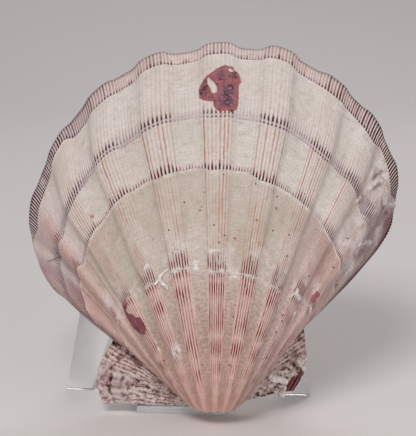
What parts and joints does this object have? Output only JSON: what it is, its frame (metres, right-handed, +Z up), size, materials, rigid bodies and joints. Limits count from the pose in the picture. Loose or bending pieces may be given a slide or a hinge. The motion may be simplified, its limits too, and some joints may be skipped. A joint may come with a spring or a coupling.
{
  "type": "scallop shell on a display stand",
  "caption": "Large scallop valve with a broad ribbed fan, unequal ears and a hollow back, leaning upright on a clear folded display easel.",
  "frame": {"origin": "centre of the underside of the whole object's box, on the table", "axes": "+Z up, -Y towards the viewer of the ribbed outside, +X to that viewer's right"},
  "size_m": [0.1534, 0.0921, 0.1434],
  "materials": {
    "shell": "satin",
    "clear_acrylic": "polished"
  },
  "bodies": {
    "root": {"valve": "shell", "easel": "clear_acrylic"}
  },
  "joints": []
}
